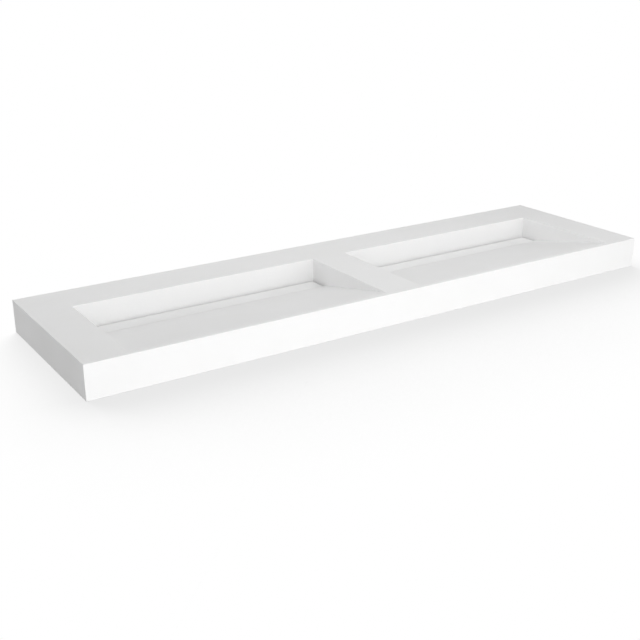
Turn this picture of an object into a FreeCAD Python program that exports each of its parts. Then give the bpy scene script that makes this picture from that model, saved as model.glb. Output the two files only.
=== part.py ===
import FreeCAD
import Part
import Sketcher
import math
import os
import re

# Double washbasin top, bonded from solid-surface sheet.
# X runs along the slab, -Y is the front, +Z is up, and the origin is the middle of the underside.

doc = FreeCAD.newDocument("double_washbasin_top")

SIZES = {
    # Slab
    "slab_width": 1600,
    "slab_depth": 450,
    "slab_height": 80,
    "sheet_thickness": 12,
    "arris_radius": 1,
    # Deck around the basins
    "end_margin": 100,
    "divider_width": 100,
    "rear_margin": 118,
    "rim_lip": 2,
    # Basin walls
    "wall_skirt": 12,
    # Slot cover, its feet and its pads
    "slot_gap": 6,
    "cover_width": 45,
    "cover_thickness": 6,
    "cover_joint": 0.6,
    "cover_end_gap": 5,
    "cover_arris": 0.8,
    "foot_length": 12,
    "foot_margin": 4,
    "foot_end_inset": 25,
    "pad_margin": 2,
    "pad_height": 1.5,
    "pad_clearance": 0.05,
    # Drain channel
    "channel_recess": 1,
    "channel_floor_thickness": 6,
    "channel_fall": 1.5,
    "seat_bar_width": 20,
    "seat_bar_lift": 2.2,
    # Outlet bush and strainer
    "outlet_bore": 32.4,
    "bush_wall": 1.8,
    "bush_side_clearance": 0.8,
    "bush_flange_thickness": 2,
    "bush_clearance": 0.1,
    "strainer_thickness": 0.8,
    "strainer_lip": 2.2,
    "strainer_clearance": 0.2,
    "strainer_hole": 6,
    "strainer_ring_radius": 10,
    # Battens and corner blocks
    "batten_thickness": 18,
    "batten_height": 50,
    "front_batten_lift": 10,
    "front_batten_clearance": 2,
    "block_depth": 50,
    "block_height": 50,
    "block_clearance": 8,
    "insert_diameter": 12,
    "insert_length": 16,
    "insert_bore": 6.8,
    "insert_clearance": 0.05,
    # Wall bolts
    "bolt_hole": 12,
    "bolt_height": 43,
    "bolt_end_inset": 150,
    "bolt_inner_spacing": 500,
}

# Places and lengths that follow from the sizes
PLACES = {
    "half_width": "slab_width / 2",
    "half_depth": "slab_depth / 2",
    "apron_height": "slab_height - sheet_thickness",
    "inside_depth": "slab_depth - 2 * sheet_thickness",
    "basin_outer": "half_width - end_margin",
    "basin_inner": "divider_width / 2",
    "basin_length": "basin_outer - basin_inner",
    "basin_middle": "(basin_outer + basin_inner) / 2",
    "basin_front": "sheet_thickness + rim_lip - half_depth",
    "basin_back": "half_depth - rear_margin",
    "cover_back": "basin_back - slot_gap",
    "cover_front": "cover_back - cover_width",
    "channel_border": "channel_recess + channel_floor_thickness",
    "channel_low": "channel_border - channel_fall",
    # The ramp's face starts at the rim, and its underside lies on the edge of the seat bar
    "ramp_low_end": "cover_front - cover_joint",
    "ramp_low_underside": "channel_border + seat_bar_lift",
    "ramp_run": "ramp_low_end - basin_front",
    "ramp_fall": "slab_height - ramp_low_underside",
    "ramp_reach": "sqrt(ramp_run ^ 2 + ramp_fall ^ 2 - sheet_thickness ^ 2)",
    "ramp_rise": "ramp_fall * ramp_reach - sheet_thickness * ramp_run",
    "ramp_slope": "ramp_rise / (ramp_run * ramp_reach + sheet_thickness * ramp_fall)",
    "ramp_drop": "sheet_thickness * sqrt(1 + ramp_slope ^ 2)",
    "cover_top": "ramp_low_underside + ramp_drop",
    "cover_bottom": "cover_top - cover_thickness",
    "cover_length": "basin_length - 2 * cover_end_gap",
    "channel_width": "basin_back - ramp_low_end",
    "channel_middle": "(basin_back + ramp_low_end) / 2",
    "foot_depth": "cover_width - 2 * foot_margin",
    "foot_end_distance": "cover_length / 2 - foot_end_inset",
    "pad_width": "foot_length - 2 * pad_margin",
    "pad_length": "foot_depth - 2 * pad_margin",
    "bush_radius": "outlet_bore / 2 + bush_wall",
    "bush_flange_radius": "channel_width / 2 - bush_side_clearance",
    "strainer_seat_radius": "outlet_bore / 2 + strainer_lip",
    "batten_low": "apron_height - batten_height",
    "batten_inside_x": "half_width - sheet_thickness - batten_thickness",
    "batten_inside_y": "half_depth - sheet_thickness - batten_thickness",
    "block_length": "batten_inside_x - basin_outer - sheet_thickness - block_clearance",
    "block_x": "batten_inside_x - block_length / 2",
    "block_y": "batten_inside_y - block_depth / 2",
    "bolt_outer_spacing": "slab_width - 2 * bolt_end_inset",
}

sheet = doc.addObject("Spreadsheet::Sheet", "sizes")
for row, (alias, value) in enumerate(SIZES.items(), start=1):
    sheet.set(f"A{row}", alias)
    sheet.set(f"B{row}", str(value))
    sheet.setAlias(f"B{row}", alias)
doc.recompute()

nodes = []


def formula(text):
    """Write a formula's names out as cells of the sheet."""

    def write_out(match):
        name = match.group(0)
        if name in PLACES:
            return "(" + formula(PLACES[name]) + ")"
        if name in SIZES:
            return "sizes." + name
        return name

    return re.sub(r"[a-z_]+", write_out, str(text))


def bind(item, **properties):
    """Bind properties of an object to formulas."""
    for name, text in properties.items():
        item.setExpression(name, formula(text))


def place(item, x=0, y=0, z=0):
    """Bind an object's position to formulas."""
    for axis, text in (("x", x), ("y", y), ("z", z)):
        item.setExpression("Placement.Base." + axis, formula(text))


def new_sketch(body, plane, lift=0):
    """Add a sketch on one of the body's own planes, lifted along the plane's normal."""
    support = next(item for item in body.Origin.OriginFeatures if item.Role == plane)
    sketch = body.newObject("Sketcher::SketchObject", "profile")
    sketch.AttachmentSupport = (support, [""])
    sketch.MapMode = "FlatFace"
    sketch.setExpression("AttachmentOffset.Base.z", formula(lift))
    return sketch


def pin_point(sketch, geometry, point, x, y):
    """Hold one point of a sketch at a place given by two formulas."""
    for kind, text in (("DistanceX", x), ("DistanceY", y)):
        index = sketch.addConstraint(Sketcher.Constraint(kind, -1, 1, geometry, point, 0))
        sketch.setExpression(f"Constraints[{index}]", formula(text))


def draw_outline(sketch, corners):
    """Draw a closed outline of straight lines through corners given as formulas."""
    count = len(corners)
    first = sketch.GeometryCount
    # The lines start as a regular figure of unit size, which the corner places then stretch.
    figure = []
    for index in range(count):
        turn = 2 * math.pi * index / count
        figure.append(FreeCAD.Vector(math.cos(turn), math.sin(turn), 0))
    for index in range(count):
        sketch.addGeometry(Part.LineSegment(figure[index], figure[(index + 1) % count]))
    for index in range(count):
        following = first + (index + 1) % count
        sketch.addConstraint(Sketcher.Constraint("Coincident", first + index, 2, following, 1))
    for index, (x, y) in enumerate(corners):
        pin_point(sketch, first + index, 1, x, y)


def rectangle(left, right, low, high):
    """List the corners of a rectangle between four formulas."""
    return [(left, low), (right, low), (right, high), (left, high)]


def draw_circle(sketch, x, y, diameter):
    """Draw a circle whose centre and diameter are formulas."""
    index = sketch.addGeometry(Part.Circle())
    pin_point(sketch, index, 3, x, y)
    size = sketch.addConstraint(Sketcher.Constraint("Diameter", index, sketch.Geometry[index].Radius * 2))
    sketch.setExpression(f"Constraints[{size}]", formula(diameter))


def pad(body, sketch, length, plane):
    """Pad a sketch along +X, +Y or +Z."""
    feature = body.newObject("PartDesign::Pad", "pad")
    feature.Profile = sketch
    feature.Reversed = plane == "XZ_Plane"
    bind(feature, Length=length)
    doc.recompute()
    return feature


def pocket(body, sketch, plane):
    """Cut a sketch right through along +X, +Y or +Z, and make sure that it cuts."""
    before = body.Shape.Volume
    feature = body.newObject("PartDesign::Pocket", "pocket")
    feature.Profile = sketch
    feature.Type = "ThroughAll"
    feature.Reversed = plane != "XZ_Plane"
    doc.recompute()
    if body.Shape.Volume >= before:
        raise RuntimeError(body.Label + " has a pocket that cuts nothing")
    return feature


def ease(body, radius, chosen):
    """Round the edges of a body that a test chooses by their boxes."""
    base = body.Tip
    names = []
    for number, edge in enumerate(base.Shape.Edges, start=1):
        if chosen(edge.BoundBox):
            names.append(f"Edge{number}")
    feature = body.newObject("PartDesign::Fillet", "eased_arris")
    feature.Base = (base, names)
    bind(feature, Radius=radius)
    doc.recompute()


def same(first, second):
    """Say whether two measures are the same length."""
    return abs(first - second) < FreeCAD.Base.Precision.confusion()


def new_body(label):
    """Start a sub-part made of features."""
    body = doc.addObject("PartDesign::Body", label)
    nodes.append(body)
    return body


def sheet_piece(label, plane, outlines, thickness):
    """Cut outlines from sheet and give them a thickness along +X, +Y or +Z."""
    body = new_body(label)
    sketch = new_sketch(body, plane)
    for corners in outlines:
        draw_outline(sketch, corners)
    pad(body, sketch, thickness, plane)
    return body


def block(name, length, width, height):
    """Make a plain block, cut from board."""
    item = doc.addObject("Part::Box", name)
    bind(item, Length=length, Width=width, Height=height)
    return item


def rod(name, diameter, height):
    """Make a plain upright cylinder."""
    item = doc.addObject("Part::Cylinder", name)
    bind(item, Radius=f"({diameter}) / 2", Height=height)
    return item


def cut(name, base, tool):
    """Take one solid away from another."""
    item = doc.addObject("Part::Cut", name)
    item.Base = base
    item.Tool = tool
    return item


def group(label, members):
    """Gather like solids in one sub-part."""
    item = doc.addObject("Part::Compound", label)
    item.Links = members
    nodes.append(item)
    return item


# Deck: one sheet over the whole slab, with a cut-out for each basin and eased arrises

cut_outs = []
for left, right in (("-basin_outer", "-basin_inner"), ("basin_inner", "basin_outer")):
    cut_outs.append(rectangle(left, right, "basin_front", "basin_back"))
deck_outline = rectangle("-half_width", "half_width", "-half_depth", "half_depth")
deck = sheet_piece("top_deck", "XY_Plane", [deck_outline] + cut_outs, "sheet_thickness")
place(deck, z="apron_height")


def deck_arris(box):
    """Choose the deck's four upright corners, and its upper edges but for the two that meet a ramp."""
    at_end = same(abs(box.XMin + box.XMax), sheet.slab_width)
    at_side = same(abs(box.YMin + box.YMax), sheet.slab_depth)
    on_top = same(box.ZMin, sheet.sheet_thickness)
    meets_ramp = same(box.YMax, sheet.sheet_thickness + sheet.rim_lip - sheet.slab_depth / 2)
    return (on_top and not meets_ramp) or (at_end and at_side)


ease(deck, "arris_radius", deck_arris)

# Front and rear aprons: full-length sheets under the deck, eased where their edges show


def apron(label, y):
    """Make an apron as long as the slab."""
    outline = rectangle("-half_width", "half_width", 0, "sheet_thickness")
    body = sheet_piece(label, "XY_Plane", [outline], "apron_height")
    place(body, y=y)
    return body


def apron_arris(side):
    """Choose an apron's upright corners on one side, and its lower edges there and at both ends."""

    def chosen(box):
        at_end = same(abs(box.XMin + box.XMax), sheet.slab_width)
        at_side = same(box.YMin, side) and same(box.YMax, side)
        at_foot = same(box.ZMax, 0)
        return (at_end and at_side) or (at_foot and (at_end or at_side))

    return chosen


front_apron = apron("front_apron", "-half_depth")
ease(front_apron, "arris_radius", apron_arris(0))

rear_apron = apron("rear_apron", "half_depth - sheet_thickness")
ease(rear_apron, "arris_radius", apron_arris(sheet.sheet_thickness))


def drill_wall_bolts(body, height):
    """Drill the row of wall-bolt holes through a piece, along +Y."""
    sketch = new_sketch(body, "XZ_Plane")
    for spacing in ("bolt_outer_spacing", "bolt_inner_spacing"):
        for side in ("-", ""):
            draw_circle(sketch, f"{side}{spacing} / 2", height, "bolt_hole")
    pocket(body, sketch, "XZ_Plane")


drill_wall_bolts(rear_apron, "bolt_height")

# End panels: short sheets between the two aprons, eased along their lower outer edge


def end_panel(label, x, outer):
    """Make an end panel whose outer face is at one side of the sheet."""
    outline = rectangle("-inside_depth / 2", "inside_depth / 2", 0, "apron_height")
    panel = sheet_piece(label, "YZ_Plane", [outline], "sheet_thickness")
    ease(panel, "arris_radius", lambda box: same(box.ZMax, 0) and same(box.XMin + box.XMax, 2 * outer))
    place(panel, x=x)


end_panel("left_end_panel", "-half_width", 0)
end_panel("right_end_panel", "half_width - sheet_thickness", sheet.sheet_thickness)

# Basins: each is built about its own middle, and the two mirror each other


def underside_at(y):
    """Give the height of the ramp's underside at a place along Y."""
    return f"(ramp_low_underside + ramp_slope * (ramp_low_end - ({y})))"


def channel_at(distance):
    """Give the height of the channel floor at a distance from the outlet along X."""
    return f"(channel_low + channel_fall * ({distance}) / (basin_length / 2))"


def side_wall(label, x):
    """Make a side wall: level on top, with a lower edge that follows the ramp."""
    front = "sheet_thickness - half_depth"
    foot = "ramp_low_end - (channel_recess + wall_skirt - ramp_low_underside) / ramp_slope"
    outline = [
        ("basin_back", "apron_height"),
        (front, "apron_height"),
        (front, underside_at(front) + " - wall_skirt"),
        (foot, "channel_recess"),
        ("basin_back", "channel_recess"),
    ]
    wall = sheet_piece(label, "YZ_Plane", [outline], "sheet_thickness")
    place(wall, x=x)


def back_wall(label, middle):
    """Make the back wall, which also covers the rear edges of both side walls."""
    half = "basin_length / 2 + sheet_thickness"
    outline = rectangle(f"-({half})", half, "channel_recess", "apron_height")
    wall = sheet_piece(label, "XZ_Plane", [outline], "sheet_thickness")
    place(wall, x=middle, y="basin_back")


def ramp(label, middle):
    """Make the ramp: a sheet cut plumb at both ends, flush with the rim and with the slot cover."""
    outline = [
        ("basin_front", "slab_height"),
        ("ramp_low_end", "cover_top"),
        ("ramp_low_end", "ramp_low_underside"),
        ("basin_front", "slab_height - ramp_drop"),
    ]
    body = sheet_piece(label, "YZ_Plane", [outline], "basin_length")
    place(body, x=f"{middle} - basin_length / 2")


def seat_bar(label, middle):
    """Make the bar under the low end of the ramp, planed to the ramp's slope."""
    front = "ramp_low_end - seat_bar_width"
    outline = [
        ("ramp_low_end", "channel_border"),
        ("ramp_low_end", "ramp_low_underside"),
        (front, underside_at(front)),
        (front, "channel_border"),
    ]
    body = sheet_piece(label, "YZ_Plane", [outline], "basin_length")
    place(body, x=f"{middle} - basin_length / 2")


def channel_floor(label, middle):
    """Make the channel floor, milled to fall from both ends to the outlet, and bored for the bush."""
    front = "-channel_width / 2 - seat_bar_width"
    outline = rectangle("-basin_length / 2", "basin_length / 2", front, "channel_width / 2")
    body = sheet_piece(label, "XY_Plane", [outline], "channel_floor_thickness")

    fall = new_sketch(body, "XZ_Plane", "channel_width / 2")
    low = "channel_floor_thickness - channel_fall"
    rim = "channel_floor_thickness"
    draw_outline(fall, [("-basin_length / 2", rim), (0, low), ("basin_length / 2", rim)])
    pocket(body, fall, "XZ_Plane")

    bore = new_sketch(body, "XY_Plane")
    draw_circle(bore, 0, 0, "2 * (bush_radius + bush_clearance)")
    pocket(body, bore, "XY_Plane")

    rebate = new_sketch(body, "XY_Plane", f"{low} - bush_flange_thickness")
    draw_circle(rebate, 0, 0, "2 * (bush_flange_radius + bush_clearance)")
    pocket(body, rebate, "XY_Plane")
    place(body, x=middle, y="channel_middle", z="channel_recess")


def outlet_bush(label, middle):
    """Turn the outlet bush: a sleeve for the waste pipe under a flange with a seat for the strainer."""
    body = new_body(label)
    sketch = new_sketch(body, "XZ_Plane")
    top = "channel_floor_thickness - channel_fall"
    flange = f"{top} - bush_flange_thickness"
    seat = f"{top} - strainer_thickness"
    profile = [
        ("outlet_bore / 2", 0),
        ("bush_radius", 0),
        ("bush_radius", flange),
        ("bush_flange_radius", flange),
        ("bush_flange_radius", top),
        ("strainer_seat_radius", top),
        ("strainer_seat_radius", seat),
        ("outlet_bore / 2", seat),
    ]
    draw_outline(sketch, profile)
    turned = body.newObject("PartDesign::Revolution", "turned")
    turned.Profile = sketch
    turned.ReferenceAxis = (sketch, ["V_Axis"])
    doc.recompute()
    place(body, x=middle, y="channel_middle", z="channel_recess")


def outlet_strainer(label, middle):
    """Punch the strainer: a disc with a middle hole and a ring of six holes round it."""
    body = new_body(label)
    disc = new_sketch(body, "XY_Plane")
    draw_circle(disc, 0, 0, "2 * (strainer_seat_radius - strainer_clearance)")
    draw_circle(disc, 0, 0, "strainer_hole")
    pad(body, disc, "strainer_thickness", "XY_Plane")
    hole = new_sketch(body, "XY_Plane")
    draw_circle(hole, "strainer_ring_radius", 0, "strainer_hole")
    punched = pocket(body, hole, "XY_Plane")
    ring = body.newObject("PartDesign::PolarPattern", "ring")
    ring.Originals = [punched]
    ring.Axis = (hole, ["N_Axis"])
    ring.Occurrences = 6
    body.Tip = ring
    doc.recompute()
    place(body, x=middle, y="channel_middle", z="channel_low - strainer_thickness")


def slot_cover(label, middle):
    """Make the loose slot cover, eased along its upper edges."""
    outline = rectangle("-cover_length / 2", "cover_length / 2", 0, "cover_width")
    body = sheet_piece(label, "XY_Plane", [outline], "cover_thickness")
    ease(body, "cover_arris", lambda box: same(box.ZMin, sheet.cover_thickness))
    place(body, x=middle, y="cover_front", z="cover_bottom")


def cover_supports(side, middle):
    """Make the evenly spaced feet bonded under a slot cover, and the silicone strip under each foot."""
    feet = []
    strips = []
    foot_count = 4
    for index in range(foot_count):
        offset = f"(2 * {index} / {foot_count - 1} - 1) * foot_end_distance"
        pad_low = channel_at(f"abs({offset}) + pad_width / 2") + " + pad_clearance"
        foot_low = f"{pad_low} + pad_height"
        foot_left = f"{middle} + {offset} - foot_length / 2"
        foot = block(side + "_foot", "foot_length", "foot_depth", f"cover_bottom - ({foot_low})")
        place(foot, foot_left, "cover_front + foot_margin", foot_low)
        feet.append(foot)
        strip = block(side + "_strip", "pad_width", "pad_length", "pad_height")
        place(strip, f"{foot_left} + pad_margin", "cover_front + foot_margin + pad_margin", pad_low)
        strips.append(strip)
    group(side + "_cover_feet", feet)
    group(side + "_cover_pads", strips)


for side, sign, outer_x, inner_x in (
    ("left", "-", "-basin_outer - sheet_thickness", "-basin_inner"),
    ("right", "", "basin_outer", "basin_inner - sheet_thickness"),
):
    middle = sign + "basin_middle"
    back_wall(side + "_back_wall", middle)
    side_wall(side + "_outer_wall", outer_x)
    side_wall(side + "_inner_wall", inner_x)
    ramp(side + "_ramp", middle)
    seat_bar(side + "_seat_bar", middle)
    channel_floor(side + "_channel_floor", middle)
    outlet_bush(side + "_outlet_bush", middle)
    outlet_strainer(side + "_outlet_strainer", middle)
    slot_cover(side + "_slot_cover", middle)
    cover_supports(side, middle)

# Battens: plywood strips bonded inside the hollow underside

rear_outline = rectangle("-batten_inside_x", "batten_inside_x", 0, "batten_thickness")
rear_batten = sheet_piece("rear_batten", "XY_Plane", [rear_outline], "batten_height")
drill_wall_bolts(rear_batten, "bolt_height - batten_low")
place(rear_batten, y="batten_inside_y", z="batten_low")

front_batten_top = underside_at("-batten_inside_y") + " - wall_skirt - front_batten_clearance"
front_batten_height = f"{front_batten_top} - front_batten_lift"
front_batten = block("front_batten", "2 * batten_inside_x", "batten_thickness", front_batten_height)
place(front_batten, "-batten_inside_x", "sheet_thickness - half_depth", "front_batten_lift")
nodes.append(front_batten)

for label, x in (
    ("left_end_batten", "sheet_thickness - half_width"),
    ("right_end_batten", "batten_inside_x"),
):
    end_batten = block(label, "batten_thickness", "inside_depth", "batten_height")
    place(end_batten, x, "-inside_depth / 2", "batten_low")
    nodes.append(end_batten)

divider_batten = block("divider_batten", "batten_thickness", "2 * batten_inside_y", "batten_height")
place(divider_batten, "-batten_thickness / 2", "-batten_inside_y", "batten_low")
nodes.append(divider_batten)

# Corner blocks, level with the underside, with a threaded insert let into each from below

blocks = []
inserts = []
for x in ("-block_x", "block_x"):
    for y in ("-block_y", "block_y"):
        solid = block("solid_block", "block_length", "block_depth", "block_height")
        place(solid, f"{x} - block_length / 2", f"{y} - block_depth / 2")
        socket = rod("socket", "insert_diameter + 2 * insert_clearance", "insert_length")
        place(socket, x, y)
        blocks.append(cut("corner_block", solid, socket))
        sleeve = rod("sleeve", "insert_diameter", "insert_length")
        place(sleeve, x, y)
        thread = rod("thread", "insert_bore", "insert_length")
        place(thread, x, y)
        inserts.append(cut("insert", sleeve, thread))
group("corner_blocks", blocks)
group("threaded_inserts", inserts)

doc.recompute()

for item in doc.Objects:
    if "Invalid" in item.State or "Error" in item.State:
        raise RuntimeError(item.Label + " could not be made")
for node in nodes:
    if node.Shape.isNull() or not node.Shape.isValid():
        raise RuntimeError(node.Label + " has no valid shape")

os.makedirs("parts", exist_ok=True)
for node in nodes:
    node.Shape.exportStep(f"parts/{node.Label}.step")
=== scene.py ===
import math

import bmesh
import bpy
from mathutils import Matrix, Vector


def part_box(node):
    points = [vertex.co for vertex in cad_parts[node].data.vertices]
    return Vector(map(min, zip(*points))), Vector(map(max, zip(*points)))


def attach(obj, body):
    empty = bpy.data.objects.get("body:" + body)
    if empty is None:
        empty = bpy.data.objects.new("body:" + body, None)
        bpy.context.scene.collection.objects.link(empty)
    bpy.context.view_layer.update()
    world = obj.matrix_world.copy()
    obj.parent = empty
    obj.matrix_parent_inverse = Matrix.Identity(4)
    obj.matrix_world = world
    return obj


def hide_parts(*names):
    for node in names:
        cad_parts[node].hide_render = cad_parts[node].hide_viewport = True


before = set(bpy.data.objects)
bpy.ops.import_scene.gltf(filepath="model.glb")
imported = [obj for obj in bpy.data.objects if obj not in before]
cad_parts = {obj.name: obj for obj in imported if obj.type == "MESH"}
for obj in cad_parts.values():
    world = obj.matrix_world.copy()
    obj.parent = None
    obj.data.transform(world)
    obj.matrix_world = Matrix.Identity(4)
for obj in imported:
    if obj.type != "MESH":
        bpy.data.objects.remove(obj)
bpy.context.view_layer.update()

# Bonded sheets: the deck, aprons and end panels, and each basin's walls, ramp, seat bar and channel floor.
# They are 12 mm solid surface, acrylic resin filled with white mineral powder, sawn from cast sheet.
# Adhesive of the same colour joins them edge to face, and all is sanded flush, so no joint shows.

millimetre = 0.001


def linear(code):
    """Turn an sRGB hex colour into a linear one with full alpha."""
    colour = []
    for start in (1, 3, 5):
        part = int(code[start:start + 2], 16) / 255
        colour.append(part / 12.92 if part <= 0.04045 else ((part + 0.055) / 1.055) ** 2.4)
    return (*colour, 1)


def add(tree, kind, inputs=None, **settings):
    """Add a shader node, with its settings, and set or link its inputs."""
    node = tree.nodes.new("ShaderNode" + kind)
    for name, value in settings.items():
        setattr(node, name, value)
    for name, value in (inputs or {}).items():
        if isinstance(value, bpy.types.NodeSocket):
            tree.links.new(value, node.inputs[name])
        else:
            node.inputs[name].default_value = value
    return node


def new_material(name):
    """Start a material with an empty node tree."""
    material = bpy.data.materials.new(name)
    material.use_nodes = True
    material.node_tree.nodes.clear()
    return material


def dress(nodes, material):
    """Give CAD nodes a material."""
    for name in nodes:
        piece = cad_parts[name]
        for holder in piece.material_slots:
            holder.material = material


# Sanded solid surface: a dull, even white. The mineral powder gives a faint grain, the casting leaves soft
# clouds of slightly warmer white, and the sanding leaves a satin that varies a little from place to place.
# The grain is really about 0.3 mm, and is drawn at 1.5 mm to show at all.
grain_width = 1.5 * millimetre
grain_depth = 0.05 * millimetre
cloud_width = 90 * millimetre
noise_low = 0.3
noise_high = 0.7
solid_surface = new_material("solid_surface_sanded")
tree = solid_surface.node_tree
place = add(tree, "TexCoord").outputs["Object"]
grain = add(tree, "TexNoise", {"Vector": place, "Scale": 1 / grain_width, "Detail": 2})
clouds = add(tree, "TexNoise", {"Vector": place, "Scale": 1 / cloud_width, "Detail": 3})
grain_share = add(tree, "MapRange", {
    "Value": grain.outputs["Fac"], "From Min": noise_low, "From Max": noise_high,
})
cloud_share = add(tree, "MapRange", {
    "Value": clouds.outputs["Fac"], "From Min": noise_low, "From Max": noise_high,
})
clouded = add(tree, "MixRGB", {
    "Fac": cloud_share.outputs["Result"], "Color1": linear("#F1F1F1"), "Color2": linear("#EFEFEE"),
})
grained = add(tree, "MixRGB", {
    "Fac": grain_share.outputs["Result"], "Color1": clouded.outputs["Color"], "Color2": linear("#EDEDED"),
})
satin = add(tree, "MapRange", {
    "Value": clouds.outputs["Fac"], "From Min": noise_low, "From Max": noise_high,
    "To Min": 0.46, "To Max": 0.54,
})
sanding = add(tree, "Bump", {"Height": grain.outputs["Fac"], "Strength": 0.05, "Distance": grain_depth})
shader = add(tree, "BsdfPrincipled", {
    "Base Color": grained.outputs["Color"], "Roughness": satin.outputs["Result"], "IOR": 1.5,
    "Normal": sanding.outputs["Normal"],
})
add(tree, "OutputMaterial", {"Surface": shader.outputs["BSDF"]})

outer_sheets = ("top_deck", "front_apron", "rear_apron", "left_end_panel", "right_end_panel")
basin_sheets = ("back_wall", "outer_wall", "inner_wall", "ramp", "seat_bar", "channel_floor")
sides = ("left", "right")
dress(outer_sheets, solid_surface)
for side in sides:
    dress([f"{side}_{sheet}" for sheet in basin_sheets], solid_surface)

# The tips of the slab's rounded corners hold slivers without area, which this welds shut.
same_point = 0.001 * millimetre
for sheet in outer_sheets:
    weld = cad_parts[sheet].modifiers.new("closed_tips", "WELD")
    weld.mode = "CONNECTED"
    weld.merge_threshold = same_point

# Seam filler: a drop of the sheets' own adhesive in the front corners of each basin.
# The deck's rounded edge runs out there beside the ramp and would leave a small pit.
# The drop is wiped level with the ramp and sanded with it.

deck_rounding = 1.0 * millimetre


def bridge(mesh, lower, upper):
    """Join two rings of equal count with quads."""
    for step in range(len(lower)):
        after = (step + 1) % len(lower)
        mesh.faces.new((lower[step], lower[after], upper[after], upper[step]))


def new_slab_piece(name, mesh, material):
    """Turn a finished mesh into a piece that rides on the slab, with its material."""
    bmesh.ops.recalc_face_normals(mesh, faces=mesh.faces)
    data = bpy.data.meshes.new(name)
    mesh.to_mesh(data)
    mesh.free()
    data.materials.append(material)
    piece = bpy.data.objects.new(name, data)
    bpy.context.scene.collection.objects.link(piece)
    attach(piece, "slab")
    return piece


drops = bmesh.new()
for side in sides:
    ramp_low, ramp_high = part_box(f"{side}_ramp")
    cover_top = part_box(f"{side}_slot_cover")[1].z
    ramp_slope = (ramp_high.z - cover_top) / (ramp_high.y - ramp_low.y)
    drop_foot = ramp_high.z - deck_rounding
    drop_end = ramp_low.y + deck_rounding / ramp_slope
    for ramp_side, outward in ((ramp_low.x, -1), (ramp_high.x, 1)):
        profiles = []
        for x in (ramp_side, ramp_side + outward * deck_rounding):
            corners = ((x, ramp_low.y, ramp_high.z), (x, ramp_low.y, drop_foot), (x, drop_end, drop_foot))
            profiles.append([drops.verts.new(corner) for corner in corners])
        for profile in profiles:
            drops.faces.new(profile)
        bridge(drops, *profiles)
new_slab_piece("seam_filler", drops, solid_surface)

# Slot covers: a loose strip over each drain channel, with four feet bonded under it to hold it level.
# Both are cut from a thinner sheet of the same solid surface and sanded to match the ramp beside them.
# The strip stands free of the back and side walls, and that gap is where the water goes.

for side in sides:
    dress([f"{side}_slot_cover", f"{side}_cover_feet"], solid_surface)

# Cover pads: a strip of soft silicone glued under each foot, so that the cover stands without rattling
# or scratching the channel. They are cut from extruded sheet, and only show when a cover is lifted out.

pad_rounding = 0.3 * millimetre
sharp_angle = math.radians(40)
rounding_steps = 2


def ease_edges(nodes, radius):
    """Join the faces of CAD nodes and round their sharp edges, with modifiers."""
    for name in nodes:
        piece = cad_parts[name]
        weld = piece.modifiers.new("joined_faces", "WELD")
        weld.merge_threshold = same_point
        bevel = piece.modifiers.new("eased_edges", "BEVEL")
        bevel.limit_method = "ANGLE"
        bevel.angle_limit = sharp_angle
        bevel.width = radius
        bevel.segments = rounding_steps


# Extruded silicone: a cloudy pale grey, a little see-through, with a soft shine that dust dulls in places.
silicone_cloud = 4 * millimetre
silicone_depth = 1.5 * millimetre
silicone = new_material("silicone_extruded")
tree = silicone.node_tree
place = add(tree, "TexCoord").outputs["Object"]
cloud = add(tree, "TexNoise", {"Vector": place, "Scale": 1 / silicone_cloud, "Detail": 3})
tint = add(tree, "MixRGB", {
    "Fac": cloud.outputs["Fac"], "Color1": linear("#C4C8C8"), "Color2": linear("#D6D9D8"),
})
skin = add(tree, "MapRange", {"Value": cloud.outputs["Fac"], "To Min": 0.3, "To Max": 0.5})
shader = add(tree, "BsdfPrincipled", {
    "Base Color": tint.outputs["Color"], "Roughness": skin.outputs["Result"], "IOR": 1.41,
    "Subsurface Weight": 0.3, "Subsurface Radius": (1.0, 1.0, 1.0), "Subsurface Scale": silicone_depth,
})
add(tree, "OutputMaterial", {"Surface": shader.outputs["BSDF"]})

pads = [f"{side}_cover_pads" for side in sides]
dress(pads, silicone)
ease_edges(pads, pad_rounding)

# Outlet bushes: a short flanged sleeve bonded into each channel floor, where the waste pipe is fixed.
# They are injection moulded in white ABS, with the fine dull texture of the mould on them.

bush_rounding = 0.25 * millimetre

# Moulded ABS: a cleaner, slightly cooler white than the sheets, with a low shine broken by a fine pebble
# from the spark-eroded mould. The pebble is really about 0.1 mm, and is drawn at 0.5 mm to show.
pebble_width = 0.5 * millimetre
pebble_depth = 0.02 * millimetre
flow_width = 12 * millimetre
moulded_abs = new_material("abs_moulded")
tree = moulded_abs.node_tree
place = add(tree, "TexCoord").outputs["Object"]
pebble = add(tree, "TexNoise", {"Vector": place, "Scale": 1 / pebble_width, "Detail": 1})
flow = add(tree, "TexNoise", {"Vector": place, "Scale": 1 / flow_width, "Detail": 2})
tint = add(tree, "MixRGB", {
    "Fac": flow.outputs["Fac"], "Color1": linear("#EEF0F0"), "Color2": linear("#E9EBEB"),
})
shine = add(tree, "MapRange", {"Value": pebble.outputs["Fac"], "To Min": 0.32, "To Max": 0.44})
texture = add(tree, "Bump", {"Height": pebble.outputs["Fac"], "Strength": 0.3, "Distance": pebble_depth})
shader = add(tree, "BsdfPrincipled", {
    "Base Color": tint.outputs["Color"], "Roughness": shine.outputs["Result"], "IOR": 1.54,
    "Normal": texture.outputs["Normal"],
})
add(tree, "OutputMaterial", {"Surface": shader.outputs["BSDF"]})

bushes = [f"{side}_outlet_bush" for side in sides]
dress(bushes, moulded_abs)
ease_edges(bushes, bush_rounding)

# Outlet strainers: a thin disc with seven holes that drops into the mouth of each bush and keeps hair and
# soap out of the waste. They are punched from brushed stainless steel sheet and only lie in place.

strainer_rounding = 0.12 * millimetre

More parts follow.
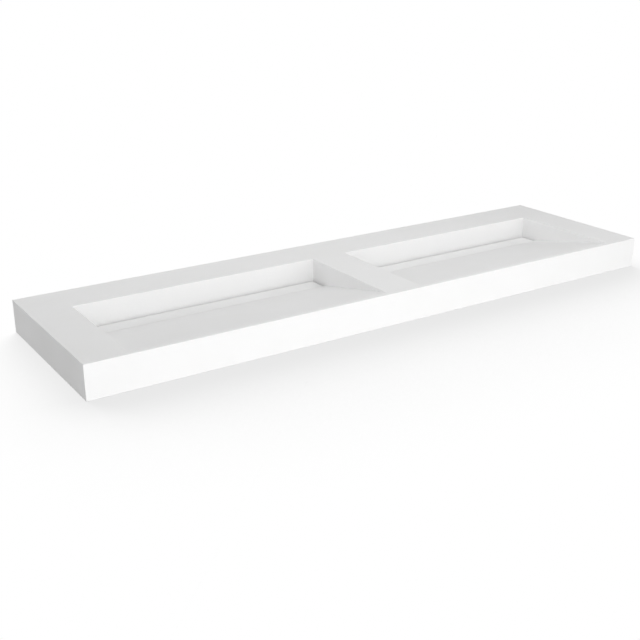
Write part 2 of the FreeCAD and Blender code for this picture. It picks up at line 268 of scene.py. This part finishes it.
# Brushed stainless steel: a cool grey metal with fine straight scratches that spread its reflections
# sideways. The scratches are really about 0.05 mm wide, and are drawn at 0.3 mm to show.
scratch_length = 15 * millimetre
scratch_width = 0.3 * millimetre
scratch_depth = 0.01 * millimetre
brushed_steel = new_material("stainless_steel_brushed")
tree = brushed_steel.node_tree
place = add(tree, "TexCoord").outputs["Object"]
combed = add(tree, "Mapping", {
    "Vector": place, "Scale": (1 / scratch_length, 1 / scratch_width, 1 / scratch_width),
})
scratches = add(tree, "TexNoise", {"Vector": combed.outputs["Vector"], "Scale": 1, "Detail": 3})
tint = add(tree, "MixRGB", {
    "Fac": scratches.outputs["Fac"], "Color1": linear("#BDBEBE"), "Color2": linear("#D0D0CE"),
})
shine = add(tree, "MapRange", {"Value": scratches.outputs["Fac"], "To Min": 0.22, "To Max": 0.42})
combing = add(tree, "Bump", {
    "Height": scratches.outputs["Fac"], "Strength": 0.2, "Distance": scratch_depth,
})
shader = add(tree, "BsdfPrincipled", {
    "Base Color": tint.outputs["Color"], "Metallic": 1, "Roughness": shine.outputs["Result"],
    "Normal": combing.outputs["Normal"],
})
add(tree, "OutputMaterial", {"Surface": shader.outputs["BSDF"]})

strainers = [f"{side}_outlet_strainer" for side in sides]
dress(strainers, brushed_steel)
ease_edges(strainers, strainer_rounding)

# Battens: strips of 18 mm birch plywood glued inside the hollow underside, behind the aprons, at the ends
# and under the divider. They stiffen the thin sheets, and the rear one backs the wall bolts.

plywood_rounding = 0.5 * millimetre
axis_x, axis_y, axis_z = 0, 1, 2

# Sawn birch plywood: pale, straight-grained faces, and edges striped by veneers that lie crosswise in turn
# with dark glue lines between them. It is only sealed, not varnished, so it is dull all over.
veneer_thickness = 1.4 * millimetre
sanded_share = 0.3
glue_share = 0.06
fibre_length = 70 * millimetre
fibre_width = 1.2 * millimetre
pore_depth = 0.1 * millimetre


def birch_plywood(name, across, along, nodes):
    """Glue birch veneers across one axis, with the grain of the outer ones along another."""
    lowest = min(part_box(node)[0][across] for node in nodes)
    highest = max(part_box(node)[1][across] for node in nodes)
    # An odd count of veneers puts the same grain on both faces, and sanding has thinned the outer two.
    veneers = 2 * round((highest - lowest) / veneer_thickness / 2) + 1
    third = axis_x + axis_y + axis_z - across - along
    material = new_material(name)
    tree = material.node_tree
    place = add(tree, "TexCoord").outputs["Object"]
    axes = add(tree, "SeparateXYZ", {"Vector": place})
    depth = add(tree, "MapRange", {
        "Value": axes.outputs[across], "From Min": lowest, "From Max": highest,
        "To Min": sanded_share, "To Max": veneers - sanded_share,
    }, clamp=False)
    layer = add(tree, "Math", {0: depth.outputs["Result"]}, operation="FLOOR")
    turned = add(tree, "Math", {0: layer.outputs[0], 1: 2}, operation="MODULO")
    seam = add(tree, "Math", {0: depth.outputs["Result"], 1: 0.5}, operation="PINGPONG")
    glue = add(tree, "Math", {0: seam.outputs[0], 1: glue_share}, operation="LESS_THAN")
    fibres = []
    for axis in (along, third):
        scale = [1 / fibre_width] * 3
        scale[axis] = 1 / fibre_length
        stretched = add(tree, "Mapping", {"Vector": place, "Scale": scale}).outputs["Vector"]
        fibres.append(add(tree, "TexNoise", {"Vector": stretched, "Scale": 1, "Detail": 4}))
    face_grain = add(tree, "MixRGB", {
        "Fac": fibres[0].outputs["Fac"], "Color1": linear("#C9AB7E"), "Color2": linear("#E6D2AE"),
    })
    end_grain = add(tree, "MixRGB", {
        "Fac": fibres[1].outputs["Fac"], "Color1": linear("#9F7C52"), "Color2": linear("#C3A276"),
    })
    veneer = add(tree, "MixRGB", {
        "Fac": turned.outputs[0],
        "Color1": face_grain.outputs["Color"], "Color2": end_grain.outputs["Color"],
    })
    glued = add(tree, "MixRGB", {
        "Fac": glue.outputs[0], "Color1": veneer.outputs["Color"], "Color2": linear("#6A4A2E"),
    })
    dullness = add(tree, "MapRange", {"Value": fibres[0].outputs["Fac"], "To Min": 0.6, "To Max": 0.75})
    pores = add(tree, "Bump", {"Height": fibres[0].outputs["Fac"], "Strength": 0.3, "Distance": pore_depth})
    shader = add(tree, "BsdfPrincipled", {
        "Base Color": glued.outputs["Color"], "Roughness": dullness.outputs["Result"], "IOR": 1.5,
        "Normal": pores.outputs["Normal"],
    })
    add(tree, "OutputMaterial", {"Surface": shader.outputs["BSDF"]})
    return material


long_battens = ("rear_batten", "front_batten")
cross_battens = ("left_end_batten", "right_end_batten", "divider_batten")
for battens, across, along in ((long_battens, axis_y, axis_x), (cross_battens, axis_x, axis_y)):
    for batten in battens:
        dress([batten], birch_plywood(f"birch_plywood_{batten}", across, along, [batten]))
    ease_edges(battens, plywood_rounding)

# Corner blocks: four thick blocks glued into the corners, flush with the bottom of the slab.
# They are laminated from the same plywood, lying flat, and are drilled from below for the inserts.

blocks = ["corner_blocks"]
dress(blocks, birch_plywood("birch_plywood_blocks", axis_z, axis_x, blocks))
ease_edges(blocks, plywood_rounding)

# Threaded inserts: a brass sleeve screwed into each block from below, which takes an M8 screw from a
# cabinet or bracket. It is turned from bar, with a coarse thread outside that bites into the wood.

insert_low, insert_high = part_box("threaded_inserts")
insert_length = insert_high.z - insert_low.z
outer_crest = 6.0 * millimetre
outer_root = 5.3 * millimetre
outer_pitch = 3.0 * millimetre
outer_pitch_steps = 8
inner_crest = 3.4 * millimetre
inner_root = 4.0 * millimetre
inner_pitch = 1.25 * millimetre
inner_pitch_steps = 6
turn_steps = 40


def thread(mesh, centre, first_radius, second_radius, pitch, pitch_steps):
    """Add the wall of a thread as a grid, and return its lowest and highest ring."""
    rings = []
    for row in range(round(insert_length / pitch * pitch_steps) + 1):
        height = min(row * pitch / pitch_steps, insert_length)
        ring = []
        for step in range(turn_steps):
            wave = abs(2 * ((height / pitch - step / turn_steps) % 1) - 1)
            radius = first_radius + (second_radius - first_radius) * wave
            angle = 2 * math.pi * step / turn_steps
            point = Vector((radius * math.cos(angle), radius * math.sin(angle), height))
            ring.append(mesh.verts.new(centre + point))
        rings.append(ring)
    for lower, upper in zip(rings, rings[1:]):
        bridge(mesh, lower, upper)
    return rings[0], rings[-1]


insert_x = insert_high.x - outer_crest
insert_y = insert_high.y - outer_crest
sleeves = bmesh.new()
for x in (-insert_x, insert_x):
    for y in (-insert_y, insert_y):
        centre = Vector((x, y, insert_low.z))
        outer_ends = thread(sleeves, centre, outer_root, outer_crest, outer_pitch, outer_pitch_steps)
        inner_ends = thread(sleeves, centre, inner_root, inner_crest, inner_pitch, inner_pitch_steps)
        for outer_end, inner_end in zip(outer_ends, inner_ends):
            bridge(sleeves, outer_end, inner_end)

# Turned brass: a warm yellow metal with fine rings from the lathe, a little dulled by handling.
# The rings are really about 0.1 mm apart, and are drawn at 0.4 mm to show.
lathe_ring_width = 0.4 * millimetre
lathe_ring_depth = 0.02 * millimetre
handling_width = 6 * millimetre
turned_brass = new_material("brass_turned")
tree = turned_brass.node_tree
place = add(tree, "TexCoord").outputs["Object"]
ringed = add(tree, "Mapping", {
    "Vector": place, "Scale": (1 / handling_width, 1 / handling_width, 1 / lathe_ring_width),
})
lathe_rings = add(tree, "TexNoise", {"Vector": ringed.outputs["Vector"], "Scale": 1, "Detail": 2})
tint = add(tree, "MixRGB", {
    "Fac": lathe_rings.outputs["Fac"], "Color1": linear("#B8924C"), "Color2": linear("#D8B56C"),
})
shine = add(tree, "MapRange", {"Value": lathe_rings.outputs["Fac"], "To Min": 0.24, "To Max": 0.42})
turning = add(tree, "Bump", {
    "Height": lathe_rings.outputs["Fac"], "Strength": 0.2, "Distance": lathe_ring_depth,
})
shader = add(tree, "BsdfPrincipled", {
    "Base Color": tint.outputs["Color"], "Metallic": 1, "Roughness": shine.outputs["Result"],
    "Normal": turning.outputs["Normal"],
})
add(tree, "OutputMaterial", {"Surface": shader.outputs["BSDF"]})

insert_sleeves = new_slab_piece("insert_sleeves", sleeves, turned_brass)
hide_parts("threaded_inserts")

# Floor: a plain white studio floor under the slab. The light meets it as a white matt board.
# The eye and mirrors see it as glowing white paper with painted shade, which no lamp casts: a painted
# shadow where the slab would hide a broad light from behind, and painted dark in the hollow under the slab.

floor_half = 30.0
floor_corners = [
    (-floor_half, -floor_half, 0), (floor_half, -floor_half, 0),
    (floor_half, floor_half, 0), (-floor_half, floor_half, 0),
]
floor_mesh = bpy.data.meshes.new("studio_floor")
floor_mesh.from_pydata(floor_corners, [], [(0, 1, 2, 3)])
floor = bpy.data.objects.new("studio_floor", floor_mesh)
bpy.context.scene.collection.objects.link(floor)

# Painted shadow: how much of a broad light from behind, at this tilt and turn, the slab would hide is
# worked into the paper's glow, and no lamp casts it.
back_light_tilt = math.radians(75)
back_light_turn = math.radians(15)
shade_reach = 0.6
shade_samples = 16
shade_curve = 2
full_shade_share = 0.45
no_shade_share = 0.9
darkest_shade = 0.81
full_hollow_share = 0.05
no_hollow_share = 0.25
darkest_hollow = 0.08


def seen_rays(tree):
    """Give 1 to the rays by which the eye, mirrors and glass see a thing, and 0 to those that light it."""
    rays = add(tree, "LightPath")
    mirrored = add(tree, "Math", {
        0: rays.outputs["Is Glossy Ray"], 1: rays.outputs["Is Transmission Ray"],
    }, operation="MAXIMUM")
    seen = add(tree, "Math", {
        0: rays.outputs["Is Camera Ray"], 1: mirrored.outputs[0],
    }, operation="MAXIMUM")
    return seen.outputs[0]


floor_white = new_material("studio_floor_white")
tree = floor_white.node_tree
board = add(tree, "BsdfDiffuse", {"Color": linear("#EFEFEF")})
towards_back_light = add(tree, "CombineXYZ", {
    "X": math.sin(back_light_tilt) * math.sin(back_light_turn),
    "Y": math.sin(back_light_tilt) * math.cos(back_light_turn),
    "Z": math.cos(back_light_tilt),
})
open_share = add(tree, "AmbientOcclusion", {
    "Distance": shade_reach, "Normal": towards_back_light.outputs["Vector"],
}, samples=shade_samples)
rise = add(tree, "MapRange", {
    "Value": open_share.outputs["AO"], "From Min": full_shade_share, "From Max": no_shade_share,
})
soft_rise = add(tree, "Math", {0: rise.outputs["Result"], 1: shade_curve}, operation="POWER")
shade = add(tree, "MapRange", {"Value": soft_rise.outputs[0], "To Min": darkest_shade, "To Max": 1.0})
sky_share = add(tree, "AmbientOcclusion", {"Distance": shade_reach}, samples=shade_samples)
hollow = add(tree, "MapRange", {
    "Value": sky_share.outputs["AO"], "From Min": full_hollow_share, "From Max": no_hollow_share,
    "To Min": darkest_hollow, "To Max": 1.0,
})
# Painted shade: the paper's glow is dimmed by the painted shadow behind the slab and by the painted dark of
# the hollow under it.
painted_shade_strength = add(tree, "Math", {
    0: shade.outputs["Result"], 1: hollow.outputs["Result"],
}, operation="MULTIPLY")
paper = add(tree, "Emission", {"Color": linear("#FFFFFF"), "Strength": painted_shade_strength.outputs[0]})
surface = add(tree, "MixShader", {0: seen_rays(tree), 1: board.outputs[0], 2: paper.outputs[0]})
add(tree, "OutputMaterial", {"Surface": surface.outputs[0]})
floor_mesh.materials.append(floor_white)

# Room: a white studio all round. It gives a low fill from every side, and shows as plain white
# behind the slab and in anything that mirrors it.

fill_strength = 0.18
world = bpy.data.worlds.new("studio")
bpy.context.scene.world = world
world.use_nodes = True
tree = world.node_tree
tree.nodes.clear()
fill = add(tree, "Background", {"Color": linear("#FFFFFF"), "Strength": fill_strength})
white = add(tree, "Background", {"Color": linear("#FFFFFF"), "Strength": 1.0})
room = add(tree, "MixShader", {0: seen_rays(tree), 1: fill.outputs[0], 2: white.outputs[0]})
add(tree, "OutputWorld", {"Surface": room.outputs[0]})

# Softboxes: large even lamps round the slab. Three in front light the apron and the back walls,
# two above light the deck, and weaker ones at the right and behind keep the other sides from going dark.
# Each has its place, the point that it faces, its width and height, and its level on the slab.

softboxes = {
    "front_left_low": ((-1.2, -2.6, 0.5), (0.0, -0.2, 0.05), (1.8, 0.9), 0.126),
    "front_left_high": ((-1.2, -2.6, 1.4), (0.0, -0.2, 0.05), (1.8, 0.9), 0.322),
    "front_right": ((1.2, -2.6, 0.5), (0.0, -0.2, 0.05), (1.8, 0.9), 0.188),
    "above": ((0.0, 0.2, 1.2), (0.0, 0.0, 0.05), (2.0, 0.8), 0.282),
    "above_front": ((0.7, -0.6, 1.2), (0.7, -0.3, 0.0), (1.0, 0.8), 0.168),
    "right": ((3.0, 0.0, 0.8), (0.0, 0.0, 0.05), (2.6, 1.6), 0.076),
    "behind": ((0.0, 3.0, 0.8), (0.0, 0.0, 0.05), (2.6, 1.6), 0.066),
    "behind_left": ((-1.2, 1.4, 1.0), (0.0, 0.0, 0.05), (0.8, 0.8), 0.131),
}
for name, (stand, aim, (width, height), level) in softboxes.items():
    away = Vector(stand) - Vector(aim)
    lamp = bpy.data.lights.new(f"softbox_{name}", "AREA")
    lamp.shape = "RECTANGLE"
    lamp.size = width
    lamp.size_y = height
    # Light thins out with the square of the distance, so a lamp that stands farther off gets more power.
    lamp.energy = level * 4 * math.pi * away.length_squared
    softbox = bpy.data.objects.new(f"softbox_{name}", lamp)
    bpy.context.scene.collection.objects.link(softbox)
    softbox.matrix_world = Matrix.Translation(stand) @ away.to_track_quat("Z", "Y").to_matrix().to_4x4()
    softbox.visible_camera = False
    softbox.visible_glossy = False

# Camera: a slightly long lens from the front left, above the slab.
# Its place, turn, tilt and lens put the slab's straight edges where the photograph has them.

camera_place = Vector((-1.3854, -1.9588, 0.8477))
camera_azimuth = math.radians(-33.292)
camera_elevation = math.radians(20.864)
camera_roll = math.radians(-0.062)
lens = bpy.data.cameras.new("camera")
lens.lens = 55.64
lens.sensor_width = 36
camera = bpy.data.objects.new("camera", lens)
bpy.context.scene.collection.objects.link(camera)
camera.matrix_world = (
    Matrix.Translation(camera_place)
    @ Matrix.Rotation(camera_azimuth, 4, "Z")
    @ Matrix.Rotation(math.pi / 2 - camera_elevation, 4, "X")
    @ Matrix.Rotation(camera_roll, 4, "Z")
)
bpy.context.scene.camera = camera
bpy.context.scene.view_settings.view_transform = "Standard"
